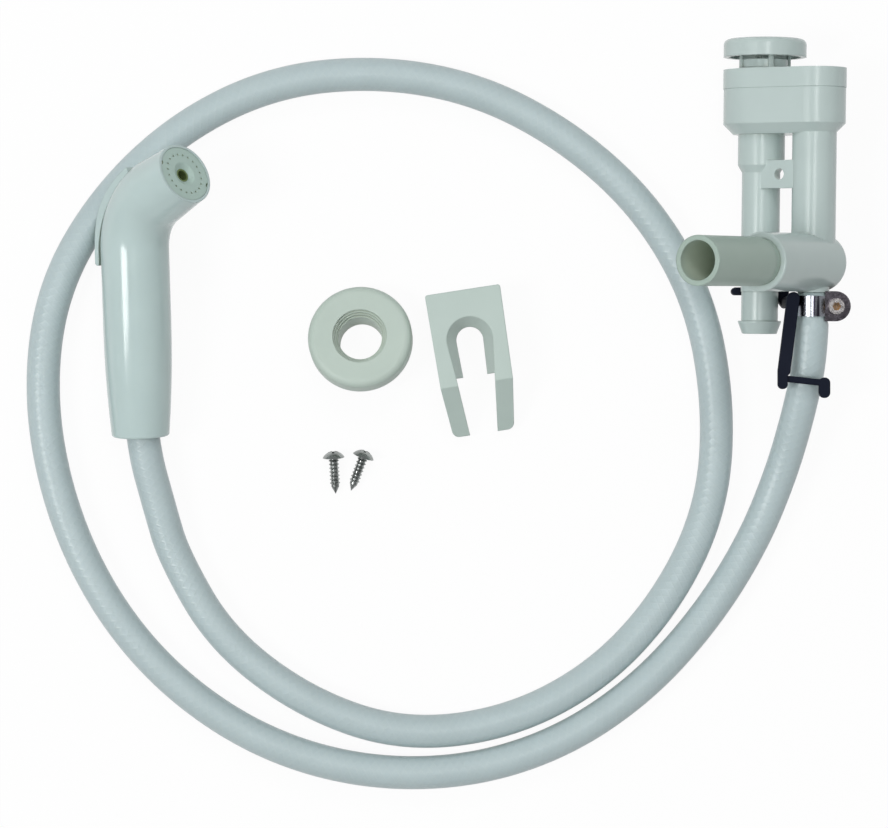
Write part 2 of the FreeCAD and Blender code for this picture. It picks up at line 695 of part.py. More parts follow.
def hose_wire(route):
    """Straight runs joined by tangent arcs, as large as each pair of runs allows."""
    edges, radii = [], []
    last = route[0]
    for before, corner, after in zip(route, route[1:], route[2:]):
        back, ahead = before - corner, after - corner
        reach = 0.45 * min(back.Length, ahead.Length)
        half_turn = (math.pi - back.getAngle(ahead)) / 2
        radius = reach / math.tan(half_turn)
        radii.append(radius)
        start = corner + back.normalize() * reach
        end = corner + ahead.normalize() * reach
        bisector = (back + ahead).normalize()
        centre_gap = radius / math.cos(half_turn)
        middle = corner + bisector * (centre_gap - radius)
        edges.append(Part.LineSegment(last, start).toShape())
        edges.append(Part.Arc(start, middle, end).toShape())
        last = end
    edges.append(Part.LineSegment(last, route[-1]).toShape())
    print("hose arc radii", [round(radius) for radius in radii])
    return Part.Wire(edges)


def hose():
    path = hose_wire(HOSE_ROUTE)
    start, along = HOSE_ROUTE[0], HOSE_ROUTE[1] - HOSE_ROUTE[0]
    outside = Part.Wire(Part.makeCircle(HOSE_OD / 2.0, start, along))
    inside = Part.Wire(Part.makeCircle(HOSE_ID / 2.0, start, along))
    tube = path.makePipeShell([outside], True, False)
    tube = tube.cut(path.makePipeShell([inside], True, False))
    section = math.pi * (HOSE_OD ** 2 - HOSE_ID ** 2) / 4
    print("hose length", round(path.Length), "volume / (section x length)",
          round(tube.Volume / (section * path.Length), 4))
    squeeze = ring(HOSE_OD, HOSE_NECK_OD / 2.0, CLAMP_Z - CLAMP_HOUSING_R - 0.5, 0)
    return tube.cut(placed(squeeze, breaker_frame()))


# ================================================================ hose hook
def hose_hook():
    """Flat moulded hook: the breaker rests on its bar, its strap runs down to a hook over the hose."""
    tube = breaker_point(-TUBE_SPACING, 0, HOOK_BAR_Z)
    bar_top = tube.z - SUPPLY_R - FIT
    web_x = breaker_point(0, 0, CLAMP_Z).x - BAND_R - CLAMP_T - HOOK_BAND_GAP - HOOK_HALF
    corner = Vector(web_x, tube.y, 0)
    web_top, web_foot = (Vector(web_x, breaker_point(0, 0, z).y, 0) for z in HOOK_WEB_Z)
    strap_low, strap_high = HOOK_STRAP_Z
    foot = HOOK_STRAP_FOOT - Vector(HOOK_STRAP_HALF - HOOK_FOOT_HALF, 0, 0)
    foot_end = foot - Vector(0, HOOK_FOOT_L, 0)
    cross_start = foot - Vector(0, HOOK_CROSS_DROP, 0)
    cross_low = route_height(cross_start.y) + HOSE_OD / 2.0 + HOOK_CROSS_LIFT
    cross_high = cross_low + HOOK_CROSS_T
    tip_end = HOOK_CROSS_END - Vector(0, HOOK_TIP_L, 0)
    return fused([
        bar(Vector(tube.x - HOOK_BAR_REACH, tube.y, 0), corner, HOOK_HALF, 0, bar_top),
        bar(corner, web_foot, HOOK_HALF, 0, bar_top),
        bar(corner - Vector(HOOK_GUSSET_L, 0, 0), web_foot, HOOK_HALF, 0, bar_top),
        bar(web_top, web_foot, HOOK_HALF, 0, strap_high),
        bar(web_top, HOOK_STRAP_FOOT, HOOK_STRAP_HALF, strap_low, strap_high),
        bar(foot, foot_end, HOOK_FOOT_HALF, strap_low, strap_high),
        bar(cross_start, HOOK_CROSS_END, HOOK_CROSS_HALF, cross_low, cross_high),
        bar(HOOK_CROSS_END, tip_end, HOOK_TIP_HALF, cross_low, cross_high),
    ])


# ================================================================ hand spray
ELBOW_TANGENT = ELBOW_R * math.tan(math.radians(HEAD_ANGLE / 2))
ELBOW_Z = HEAD_CROSS_Z - ELBOW_TANGENT
HEAD_STRAIGHT = HEAD_LENGTH - ELBOW_TANGENT


def elbow_point(angle, radius):
    """Point at a radius from the elbow's bend centre; angle 0 is level, towards the back."""
    turn = math.radians(angle)
    return Vector(ELBOW_R - radius * math.cos(turn), 0, ELBOW_Z + radius * math.sin(turn))


PIN_POINT = elbow_point(LEVER_PIN_ANGLE, ELBOW_R + LEVER_PIN_DEPTH)
LEVER_ARM = PIN_POINT.z - VALVE_Z
LEVER_PUSH = LEVER_ARM * math.sin(math.radians(LEVER_SWING))
LEVER_PIN_LENGTH = 2 * (LEVER_HALF_W + LEVER_GAP + LEVER_PIN_BITE)


def spray_form(inset):
    """The bent body of handle, elbow and head, with every radius drawn in by inset."""
    radius = HANDLE_R - inset
    foot_r = HANDLE_FOOT_R - inset
    swell = HANDLE_R - HANDLE_FOOT_R
    arc_r = (swell ** 2 + HANDLE_ARC_Z ** 2) / (2 * swell)
    half_z = HANDLE_ARC_Z / 2
    half_r = radius - arc_r + math.sqrt(arc_r ** 2 - half_z ** 2)
    corners = [Vector(0, 0, 0), Vector(foot_r, 0, 0), Vector(radius, 0, HANDLE_ARC_Z),
               Vector(radius, 0, ELBOW_Z), Vector(0, 0, ELBOW_Z)]
    edges = [
        Part.LineSegment(corners[0], corners[1]).toShape(),
        Part.Arc(corners[1], Vector(half_r, 0, half_z), corners[2]).toShape(),
        Part.LineSegment(corners[2], corners[3]).toShape(),
        Part.LineSegment(corners[3], corners[4]).toShape(),
        Part.LineSegment(corners[4], corners[0]).toShape(),
    ]
    handle = Part.Face(Part.Wire(edges)).revolve(Vector(0, 0, 0), Vector(0, 0, 1), 360)
    disc = Part.Face(Part.Wire(Part.makeCircle(radius, Vector(0, 0, ELBOW_Z))))
    elbow = disc.revolve(Vector(ELBOW_R, 0, ELBOW_Z), Vector(0, 1, 0), HEAD_ANGLE)
    head = Part.makeCone(radius, FACE_RIM_R - inset, HEAD_STRAIGHT, Vector(0, 0, -HEAD_STRAIGHT))
    return fused([handle, elbow, placed(head, face_frame())])


def lever_pocket():
    """Room for the lever in the back of the handle and elbow, with the hinge well."""
    half = LEVER_HALF_W + LEVER_GAP
    reach = ELBOW_R + 2 * HANDLE_R
    top = LEVER_TOP_ANGLE + POCKET_TOP_GAP
    slab = block(Vector(-reach, -half, POCKET_FOOT_Z), Vector(ELBOW_R, half, ELBOW_Z + reach))
    wedge_corners = [elbow_point(0, ELBOW_R), elbow_point(0, reach),
                     elbow_point(top / 2, reach * 1.2), elbow_point(top, reach),
                     elbow_point(top, ELBOW_R), elbow_point(top / 2, ELBOW_R)]
    wedge = Part.Face(Part.makePolygon(wedge_corners + wedge_corners[:1])).extrude(
        Vector(0, 2 * half, 0)).translated(Vector(0, -half, 0))
    handle_side = block(Vector(-reach, -half, POCKET_FOOT_Z), Vector(0, half, ELBOW_Z))
    region = slab.common(fused([wedge, handle_side]))
    well_r = LEVER_EAR_R + POCKET_EAR_GAP
    well = rod_to(well_r, PIN_POINT - Vector(0, half, 0), PIN_POINT + Vector(0, half, 0))
    slot = radial_bar(well_r, half, HANDLE_R)
    return fused([region.cut(spray_form(POCKET_DEPTH)), well, slot])


def radial_bar(half_width, half_length, out):
    """Block from the pin out through the back of the elbow."""
    bar_shape = block(Vector(0, -half_length, -half_width), Vector(out, half_length, half_width))
    turn = 180 + LEVER_PIN_ANGLE
    bar_shape.rotate(Vector(0, 0, 0), Vector(0, 1, 0), turn)
    return bar_shape.translated(PIN_POINT)


def spray_handle():
    outside = spray_form(0)
    foot = [edge for edge in outside.Edges if abs(edge.CenterOfMass.z) < 0.01
            and edge.BoundBox.ZLength < 0.01]
    outside = outside.makeFillet(HANDLE_FOOT_ROUND, foot)
    head_cuts = fused_cut([
        rod(FACE_R + FIT, -FACE_T - FACE_SEAL_T - FACE_INSET, 1),
        rod(FACE_LEDGE_R, -HEAD_CAVITY, 1),
        rod(PASSAGE_R, -HEAD_LENGTH, 1),
    ])
    cuts = [
        rod(HANDLE_BORE_R, -1, HANDLE_BORE_TOP),
        rod(PASSAGE_R, HANDLE_BORE_TOP - 1, HEAD_CROSS_Z),
        Part.makeSphere(PASSAGE_R, Vector(0, 0, HEAD_CROSS_Z)),
        placed(head_cuts, face_frame()),
        rod_to(STEM_R + STEM_GUIDE, Vector(-HANDLE_R, 0, VALVE_Z), Vector(0, 0, VALVE_Z)),
        lever_pocket(),
        rod_to(LEVER_PIN_R, PIN_POINT - Vector(0, LEVER_PIN_LENGTH / 2, 0),
               PIN_POINT + Vector(0, LEVER_PIN_LENGTH / 2, 0)),
    ]
    shape = outside
    for cut in cuts:
        shape = shape.cut(cut)
    return shape


def lever_pin():
    reach = Vector(0, LEVER_PIN_LENGTH / 2, 0)
    return rod_to(LEVER_PIN_R, PIN_POINT - reach, PIN_POINT + reach)


def thumb_lever():
    """Curved plate that stands proud of the back, with an ear down to its pin."""
    outer = HANDLE_R + LEVER_PROUD
    floor = HANDLE_R - POCKET_DEPTH
    foot_gap, level_gap, bend_gap, top_gap = LEVER_CLEARANCES
    swing = math.sin(math.radians(LEVER_SWING))
    foot_in = floor + (PIN_POINT.z - LEVER_FOOT_Z) * swing + foot_gap
    level_in = floor + (PIN_POINT.z - ELBOW_Z) * swing + level_gap
    top = LEVER_TOP_ANGLE
    corners = [
        Vector(-outer, 0, LEVER_FOOT_Z + LEVER_FOOT_SLANT),
        Vector(-outer, 0, ELBOW_Z),
        elbow_point(top / 2, ELBOW_R + HANDLE_R + LEVER_BEND_PROUD),
        elbow_point(top, ELBOW_R + HANDLE_R + LEVER_TOP_PROUD),
        elbow_point(top, ELBOW_R + floor + top_gap),
        elbow_point(top / 2, ELBOW_R + floor + bend_gap),
        Vector(-level_in, 0, ELBOW_Z),
        Vector(-foot_in, 0, LEVER_FOOT_Z),
        Vector(-foot_in - LEVER_FOOT_T, 0, LEVER_FOOT_Z),
    ]
    edges = [
        Part.LineSegment(corners[0], corners[1]).toShape(),
        Part.Arc(corners[1], corners[2], corners[3]).toShape(),
        Part.LineSegment(corners[3], corners[4]).toShape(),
        Part.Arc(corners[4], corners[5], corners[6]).toShape(),
        Part.LineSegment(corners[6], corners[7]).toShape(),
        Part.LineSegment(corners[7], corners[8]).toShape(),
        Part.LineSegment(corners[8], corners[0]).toShape(),
    ]
    half = LEVER_HALF_W
    plate = Part.Face(Part.Wire(edges)).extrude(Vector(0, 2 * half, 0)).translated(
        Vector(0, -half, 0))
    plate = plate.common(spray_form(-LEVER_PROUD))
    ear = rod_to(LEVER_EAR_R, PIN_POINT - Vector(0, half, 0), PIN_POINT + Vector(0, half, 0))
    neck = radial_bar(LEVER_NECK_HALF, half, HANDLE_R - LEVER_PIN_DEPTH - 0.5)
    hole = rod_to(LEVER_PIN_R + PIVOT, PIN_POINT - Vector(0, half + 1, 0),
                  PIN_POINT + Vector(0, half + 1, 0))
    return fused([plate, ear, neck]).cut(hole)


def across(radius, x_low, x_high):
    """Rod along X at the valve's height."""
    return rod_to(radius, Vector(x_low, 0, VALVE_Z), Vector(x_high, 0, VALVE_Z))


SEAT_X = 0.0                # front of the seat ring, where the seal closes
SEAT_T = 1.0
SEAT_R = 2.2
VALVE_FRONT = VALVE_HALF - VALVE_WALL
VALVE_BACK = VALVE_WALL - VALVE_HALF
SPRING_X = SEAT_X + FIT + SEAL_T + STEM_HEAD_T


def valve_body():
    spigot_r = PASSAGE_R - FIT
    solid = fused([
        across(VALVE_R, -VALVE_HALF, VALVE_HALF),
        rod(spigot_r, VALVE_Z, HANDLE_BORE_TOP + 4.0),
        rod(WATER_TUBE_R + 1.0, VALVE_Z - VALVE_R - 3.0, VALVE_Z, WATER_TUBE_X),
    ])
    cuts = [
        across(VALVE_BORE_R, VALVE_BACK, SEAT_X - SEAT_T),
        across(SEAT_R, SEAT_X - SEAT_T - 1, SEAT_X + 1),
        across(VALVE_BORE_R, SEAT_X, VALVE_FRONT),
        across(STEM_R + STEM_GUIDE, -VALVE_HALF - 1, VALVE_BACK + 1),
        rod(VALVE_SPIGOT_BORE_R, VALVE_Z, HANDLE_BORE_TOP + 5.0, VALVE_SPIGOT_BORE_X),
        rod(WATER_TUBE_BORE_R, VALVE_Z - VALVE_R - 4.0, VALVE_Z, WATER_TUBE_X),
        rod(WATER_TUBE_R + FIT, VALVE_Z - VALVE_R - 4.0, VALVE_Z - VALVE_R, WATER_TUBE_X),
    ]
    return solid.cut(fused_cut(cuts))


def valve_stem():
    """Push rod from the lever, through the seat, with a flange that carries the seal."""
    back = -(HANDLE_R - POCKET_DEPTH) - LEVER_PUSH - 0.2
    rod_part = across(STEM_R, back, SPRING_X)
    flange = across(SEAL_R, SPRING_X - STEM_HEAD_T, SPRING_X)
    return fused([rod_part, flange])


def valve_seal():
    start = SEAT_X + FIT
    return across(SEAL_R, start, start + SEAL_T).cut(
        across(STEM_R, start - 1, start + SEAL_T + 1))


def valve_spring():
    """Coil between the stem's flange and the front wall of the valve."""
    length = VALVE_FRONT - SPRING_X - 2 * SPRING_WIRE_R - 2 * FIT
    steps = SPRING_TURNS * SPRING_STEPS
    turns = [(2 * math.pi * i / SPRING_STEPS, length * i / steps) for i in range(steps + 1)]
    line = Part.BSplineCurve()
    line.interpolate([Vector(SPRING_R * math.cos(turn), SPRING_R * math.sin(turn), rise)
                      for turn, rise in turns])
    start, along = line.value(line.FirstParameter), line.tangent(line.FirstParameter)[0]
    wire = Part.Wire(Part.makeCircle(SPRING_WIRE_R, start, along))
    coil = Part.Wire(line.toShape()).makePipeShell([wire], True, False)
    coil.rotate(Vector(0, 0, 0), Vector(0, 1, 0), 90)
    return coil.translated(Vector(SPRING_X + SPRING_WIRE_R + FIT, 0, VALVE_Z))


def water_tube():
    low = COUPLING_Z + COUPLING_H / 2
    high = VALVE_Z - VALVE_R
    return ring(WATER_TUBE_R, WATER_TUBE_BORE_R, low, high, WATER_TUBE_X)


def hose_coupling():
    """Plug in the handle's foot, with a barb into the hose and a socket for the tube."""
    top = COUPLING_Z + COUPLING_H
    solid = fused([rod(HANDLE_BORE_R - FIT, COUPLING_Z, top),
                   hose_barb(COUPLING_Z, COUPLING_BARB_L)])
    middle = COUPLING_Z + COUPLING_H / 2
    cuts = [
        rod(WATER_BORE_R, COUPLING_Z - COUPLING_BARB_L - 1, middle),
        rod(WATER_TUBE_BORE_R, middle - 1, top + 1, WATER_TUBE_X),
        rod(WATER_TUBE_R + FIT, middle, top + 1, WATER_TUBE_X),
    ]
    return solid.cut(fused_cut(cuts))


# ---------------------------------------------------------------- spray face
PLATE_TOP = -FACE_INSET
PLATE_FOOT = PLATE_TOP - FACE_T


def spray_face():
    hub = rod(FACE_HUB_R, PLATE_FOOT - FACE_HUB_L, PLATE_FOOT)
    plate = fused([rod(FACE_R, PLATE_FOOT, PLATE_TOP), hub])
    dish_foot = JET_R + 0.4
    dish = Part.makeCone(dish_foot, FACE_DISH_R, FACE_DISH_DEPTH,
                         Vector(0, 0, PLATE_TOP - FACE_DISH_DEPTH))
    shape = plate.cut(dish).cut(rod(JET_R + FIT, PLATE_FOOT - FACE_HUB_L - 1, 1))
    for index in range(FACE_HOLES):
        turn = math.radians(index * 360.0 / FACE_HOLES)
        x, y = FACE_HOLE_CIRCLE_R * math.cos(turn), FACE_HOLE_CIRCLE_R * math.sin(turn)
        shape = shape.cut(rod(FACE_HOLE_R, PLATE_FOOT - 1, 1, x, y))
    for angle in FACE_NOTCHES:
        notch = block(Vector(FACE_R - FACE_NOTCH_DEPTH, -FACE_NOTCH_W / 2, PLATE_TOP - 0.9),
                      Vector(FACE_R + 1, FACE_NOTCH_W / 2, 1))
        notch.rotate(Vector(0, 0, 0), Vector(0, 0, 1), angle)
        shape = shape.cut(notch)
    return shape


def jet_insert():
    top = PLATE_TOP - FACE_DISH_DEPTH
    return ring(JET_R, JET_BORE_R, PLATE_FOOT - FACE_HUB_L, top)


def face_seal():
    return ring(FACE_R, FACE_LEDGE_R, PLATE_FOOT - FACE_SEAL_T, PLATE_FOOT)


# ================================================================ loose fittings
def deck_ring():
    flange = rod(DECK_RING_R, 0, DECK_RING_H)
    rim = [edge for edge in flange.Edges if abs(edge.CenterOfMass.z - DECK_RING_H) < 0.01]
    flange = flange.makeFillet(DECK_RING_ROUND, rim)
    body = fused([flange, rod(DECK_RING_BOSS_R, -DECK_RING_BOSS_H, 0)])
    body = body.cut(rod(DECK_RING_BORE_R, -DECK_RING_BOSS_H - 1, DECK_RING_H + 1))
    step = (DECK_RING_MOUTH_R - DECK_RING_BORE_R) / DECK_RING_STEPS
    for index in range(DECK_RING_STEPS):
        low = DECK_RING_H - DECK_RING_STEP_DROP * (index + 1)
        body = body.cut(rod(DECK_RING_MOUTH_R - step * index, low, DECK_RING_H + 1))
    return body


def holder_plan():
    """Outer plan of the fork: square at the wall, tapering to round-ended prongs."""
    corners = [
        Vector(-HOLDER_W / 2, 0, 0), Vector(HOLDER_W / 2, 0, 0),
        Vector(HOLDER_BEND_W / 2, HOLDER_BEND_Y, 0), Vector(HOLDER_TIP_W / 2, HOLDER_L, 0),
        Vector(-HOLDER_TIP_W / 2, HOLDER_L, 0), Vector(-HOLDER_BEND_W / 2, HOLDER_BEND_Y, 0),
    ]
    prism = Part.Face(Part.makePolygon(corners + corners[:1])).extrude(Vector(0, 0, HOLDER_H))
    for y, radius in ((HOLDER_L, HOLDER_TIP_ROUND), (0, HOLDER_WALL_ROUND)):
        uprights = [edge for edge in prism.Edges if edge.BoundBox.ZLength > HOLDER_H - 0.1
                    and abs(edge.CenterOfMass.y - y) < 0.1]
        prism = prism.makeFillet(radius, uprights)
    return prism


def holder_socket(radius, half, z):
    """Wire of the tapered socket at one height: round at the back, open at the front."""
    centre = Vector(0, HOLDER_SOCKET_Y, z)
    side = Vector(radius, 0, 0)
    front_y = HOLDER_SOCKET_END
    edges = [
        Part.Arc(centre + side, centre - Vector(0, radius, 0), centre - side).toShape(),
        Part.LineSegment(centre - side, Vector(-half, front_y, z)).toShape(),
        Part.LineSegment(Vector(-half, front_y, z), Vector(half, front_y, z)).toShape(),
        Part.LineSegment(Vector(half, front_y, z), centre + side).toShape(),
    ]
    return Part.Wire(edges)


def wall_holder():
    """Fork that the hand spray drops into: back plate, arms and drooping prongs."""
    arm_foot = HOLDER_H - HOLDER_ARM_H
    drop = HOLDER_PRONG_T + 0.9
    side = [
        (0, 0), (HOLDER_BACK_T, 0), (HOLDER_BACK_T, arm_foot), (HOLDER_SOCKET_END, arm_foot),
        (HOLDER_SOCKET_END, HOLDER_H - HOLDER_PRONG_T), (HOLDER_BEND_Y - 1.5, HOLDER_H - drop),
        (HOLDER_L - 3.0, 0), (HOLDER_L, 0), (HOLDER_L, HOLDER_TIP_H), (HOLDER_BEND_Y, HOLDER_H),
        (0, HOLDER_H),
    ]
    corners = [Vector(-HOLDER_W, y, z) for y, z in side]
    web = Part.Face(Part.makePolygon(corners + corners[:1])).extrude(Vector(2 * HOLDER_W, 0, 0))
    body = web.common(holder_plan())
    top = holder_socket(HOLDER_SOCKET_R, HOLDER_MOUTH_HALF, HOLDER_H)
    foot = holder_socket(HOLDER_SOCKET_FOOT_R, HOLDER_MOUTH_FOOT_HALF, arm_foot)
    body = body.cut(Part.makeLoft([foot, top], True, True))
    gap_corners = [
        Vector(-HOLDER_MOUTH_HALF, HOLDER_SOCKET_END, 0),
        Vector(HOLDER_MOUTH_HALF, HOLDER_SOCKET_END, 0),
        Vector(HOLDER_TIP_HALF, HOLDER_L + 1, 0), Vector(-HOLDER_TIP_HALF, HOLDER_L + 1, 0),
    ]
    gap = Part.Face(Part.makePolygon(gap_corners + gap_corners[:1])).extrude(
        Vector(0, 0, HOLDER_H + 1))
    body = body.cut(gap)
    for x in (-HOLDER_HOLE_SPACING / 2, HOLDER_HOLE_SPACING / 2):
        body = body.cut(rod_to(HOLDER_HOLE_R, Vector(x, -1, HOLDER_HOLE_Z),
                               Vector(x, HOLDER_BACK_T + 1, HOLDER_HOLE_Z)))
    return body


def mounting_screw():
    """Pointed screw along +X with a domed cross-recess head; its head's foot is at x = 0."""
    outline = [(0, 0), (SCREW_SHANK_R, 0)]
    turns = int((SCREW_L - SCREW_TIP_L) / SCREW_PITCH)
    for index in range(turns):
        z = (index + 0.5) * SCREW_PITCH
        outline += [(SCREW_SHANK_R, z), (SCREW_THREAD_R, z + SCREW_PITCH * 0.3),
                    (SCREW_SHANK_R, z + SCREW_PITCH * 0.6)]
    outline += [(SCREW_SHANK_R, SCREW_L - SCREW_TIP_L), (0, SCREW_L)]
    shank = turned(outline)
    ball_r = (SCREW_HEAD_R ** 2 + SCREW_HEAD_H ** 2) / (2 * SCREW_HEAD_H)
    ball = Part.makeSphere(ball_r, Vector(0, 0, ball_r - SCREW_HEAD_H))
    head = ball.common(rod(SCREW_HEAD_R, -SCREW_HEAD_H, 0))
    shape = fused([shank, head])
    for turn in (0, 90):
        slot = block(Vector(-SCREW_RECESS_L / 2, -SCREW_RECESS_W / 2, -SCREW_HEAD_H - 1),
                     Vector(SCREW_RECESS_L / 2, SCREW_RECESS_W / 2,
                            SCREW_RECESS_DEPTH - SCREW_HEAD_H))
        slot.rotate(Vector(0, 0, 0), Vector(0, 0, 1), turn)
        shape = shape.cut(slot)
    shape.rotate(Vector(0, 0, 0), Vector(0, 1, 0), 90)
    return shape


def laid_screw(foot, heading):
    """A screw lying on the surface, on its head's rim and its point."""
    screw = mounting_screw()
    droop = math.degrees(math.asin((SCREW_HEAD_R - SCREW_THREAD_R) / SCREW_L))
    screw.rotate(Vector(0, 0, 0), Vector(0, 1, 0), droop)
    screw.rotate(Vector(0, 0, 0), Vector(0, 0, 1), heading)
    low = screw.optimalBoundingBox().ZMin
    return screw.translated(foot - Vector(0, 0, low))


# ================================================================ assembly
def assembly():
    breaker, spray = breaker_frame(), spray_frame()
    face, clamp = face_frame(), clamp_frame()
    nodes = {
        "breaker_body": placed(breaker_body(), breaker),
        "housing_lid": placed(housing_lid(), breaker),
        "lid_gasket": placed(lid_gasket(), breaker),
        "cap_cage": placed(cap_cage(), breaker),
        "air_cap": placed(air_cap(), breaker),
        "float_valve": placed(float_valve(), breaker),
        "float_seal": placed(float_seal(), breaker),
        "outlet_pipe": placed(outlet_pipe(), breaker),
        "clamp_band": placed(clamp_band(), clamp, breaker),
        "clamp_housing": placed(clamp_housing(), clamp, breaker),
        "clamp_screw": placed(clamp_screw(), clamp, breaker),
        "hose_hook": hose_hook(),
        "hose": hose(),
        "spray_handle": placed(spray_handle(), spray),
        "spray_face": placed(spray_face(), face, spray),
        "jet_insert": placed(jet_insert(), face, spray),
        "face_seal": placed(face_seal(), face, spray),
        "thumb_lever": placed(thumb_lever(), spray),
        "lever_pin": placed(lever_pin(), spray),
        "valve_body": placed(valve_body(), spray),
        "valve_stem": placed(valve_stem(), spray),
        "valve_seal": placed(valve_seal(), spray),
        "valve_spring": placed(valve_spring(), spray),
        "water_tube": placed(water_tube(), spray),
        "hose_coupling": placed(hose_coupling(), spray),
        "deck_ring": placed(deck_ring(), deck_ring_frame()),
        "wall_holder": placed(wall_holder(), holder_frame()),
    }
    for number, (foot, heading) in enumerate(SCREWS, 1):
        nodes["mounting_screw_" + str(number)] = laid_screw(foot, heading)
    return nodes


def main():
    os.makedirs("parts", exist_ok=True)
    for name, shape in assembly().items():
        shape.exportStep("parts/" + name + ".step")
        solids = len(shape.Solids)
        box = shape.optimalBoundingBox()
        print(name, "solids", solids, "valid", shape.isValid(), "volume", round(shape.Volume),
              "x", round(box.XMin, 1), round(box.XMax, 1), "y", round(box.YMin, 1),
              round(box.YMax, 1), "z", round(box.ZMin, 1), round(box.ZMax, 1))


main()
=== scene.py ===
"""Looks of a hand-spray kit laid out on a white table: camera, light, floor, hose and finishes."""

import json
import math

import bpy
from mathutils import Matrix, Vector


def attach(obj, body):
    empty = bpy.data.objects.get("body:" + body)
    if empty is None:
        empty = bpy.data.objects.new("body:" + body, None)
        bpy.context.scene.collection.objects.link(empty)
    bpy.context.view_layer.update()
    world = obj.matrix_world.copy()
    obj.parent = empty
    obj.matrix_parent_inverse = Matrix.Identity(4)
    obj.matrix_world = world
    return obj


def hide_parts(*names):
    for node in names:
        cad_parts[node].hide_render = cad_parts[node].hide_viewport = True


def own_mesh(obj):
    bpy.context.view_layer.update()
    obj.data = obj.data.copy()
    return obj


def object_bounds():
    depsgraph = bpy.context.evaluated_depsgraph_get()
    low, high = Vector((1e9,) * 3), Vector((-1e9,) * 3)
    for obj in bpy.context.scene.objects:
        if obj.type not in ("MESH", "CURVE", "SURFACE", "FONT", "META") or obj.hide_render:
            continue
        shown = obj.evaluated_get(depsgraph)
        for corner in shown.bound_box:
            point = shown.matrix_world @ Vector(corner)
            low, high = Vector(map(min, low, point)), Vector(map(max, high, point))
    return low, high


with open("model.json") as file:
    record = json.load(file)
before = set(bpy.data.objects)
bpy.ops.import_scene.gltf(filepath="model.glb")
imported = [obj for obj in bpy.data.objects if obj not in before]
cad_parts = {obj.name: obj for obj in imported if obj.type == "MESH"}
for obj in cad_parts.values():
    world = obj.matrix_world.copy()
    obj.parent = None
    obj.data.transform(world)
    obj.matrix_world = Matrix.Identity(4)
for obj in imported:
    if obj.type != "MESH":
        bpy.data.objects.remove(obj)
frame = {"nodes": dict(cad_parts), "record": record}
cad_low, cad_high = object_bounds()
MM = 0.001

# ---------------------------------------------------------------- sizes and light levels
CAMERA_AT = Vector((-11.5, -66.0, 1350.0)) * MM
CAMERA_CLIP = (0.05, 20.0)
VIEW_WIDTH = 399.6 * MM         # of the table, across the picture
SENSOR = 36.0                   # in mm, as camera data has it

ROOM_COLOUR = (0.97, 0.99, 1.0, 1)
WORLD_ZENITH = 0.28
WORLD_HORIZON = 0.42            # and from the sides
BACKDROP = (0.8, 0.8, 0.8, 1)   # seen past the floor's edge
LAMPS = (
    ("key_left", (-1.5, -0.3, 2.1), (0.6, 0.9), 22.0, True),
    ("over", (0.10, 0.12, 1.75), (0.28, 0.9), 4.4, True),
    ("fill_right", (1.0, 0.1, 2.0), (0.8, 0.8), 2.0, False),
    ("back", (0.0, 1.3, 1.6), (1.2, 0.7), 7.5, False),
)

FLOOR_REACH = 4.0
FLOOR_Z = -0.2 * MM
FLOOR_SHADE = 0.44
FLOOR_WHITE_SHARE = 0.94        # of plain white in the floor the camera sees; the rest shows shadow
WHITE = (1, 1, 1, 1)

HOSE_R = 7.4 * MM
HOSE_NECK_R = 6.6 * MM          # under the clamp
HOSE_NECK_L = 11.2 * MM
HOSE_NECK_EASE = 3.5 * MM       # over which it widens again
HOSE_SIDES = 48
HOSE_STEPS = 16                 # along each span of the route
HOSE_UV = "along_and_round"

BRAID_PITCH = 3.8 * MM          # along the hose, between crossings of the reinforcing thread
BRAID_STARTS = 8                # threads each way round
BRAID_SHARPNESS = 3.0
BRAID_LIFT = 0.07 * MM
BRAID_LIFT_STRENGTH = 0.8
BRAID_COLOUR = (206, 219, 219)
BRAID_SHARE = 0.16              # of its colour that shows through the vinyl


# ---------------------------------------------------------------- camera
def add_camera():
    data = bpy.data.cameras.new("camera")
    data.sensor_width = SENSOR
    data.lens = SENSOR * CAMERA_AT.z / VIEW_WIDTH
    data.clip_start, data.clip_end = CAMERA_CLIP
    camera = bpy.data.objects.new("camera", data)
    camera.location = CAMERA_AT
    bpy.context.collection.objects.link(camera)
    bpy.context.scene.camera = camera


# ---------------------------------------------------------------- hose
HOSE_ROUTE_MM = [
    (150.71, -12.39, 30.13), (150.53, -37.36, 29.04), (146.4, -62.0, 22.5), (139.2, -92.0, 11.5),
    (126.5, -124.0, 7.5), (105.5, -157.5, 7.5), (77.0, -189.0, 7.5), (40.5, -213.5, 7.5),
    (-2.0, -226.5, 7.5), (-49.0, -226.5, 7.5), (-94.0, -213.0, 7.5), (-134.0, -186.0, 7.5),
    (-164.0, -150.0, 7.5), (-184.0, -106.0, 7.5), (-192.5, -58.0, 7.5), (-187.0, -11.0, 7.5),
    (-164.5, 29.0, 7.5), (-131.0, 61.5, 7.5), (-89.0, 82.5, 7.5), (-42.0, 87.5, 7.5),
    (4.0, 79.5, 7.5), (46.0, 57.0, 7.5), (80.0, 25.5, 7.5), (103.0, -15.0, 7.5),
    (111.5, -62.0, 7.5), (108.5, -107.5, 7.5), (89.0, -149.0, 7.5), (58.0, -183.0, 7.5),
    (17.0, -204.5, 7.5), (-30.0, -210.0, 7.5), (-73.0, -195.5, 7.5), (-111.0, -167.0, 7.5),
    (-132.5, -129.5, 7.5), (-138.6, -108.0, 8.6), (-146.3, -78.57, 12.24), (-147.05, -55.78, 15.28),
]


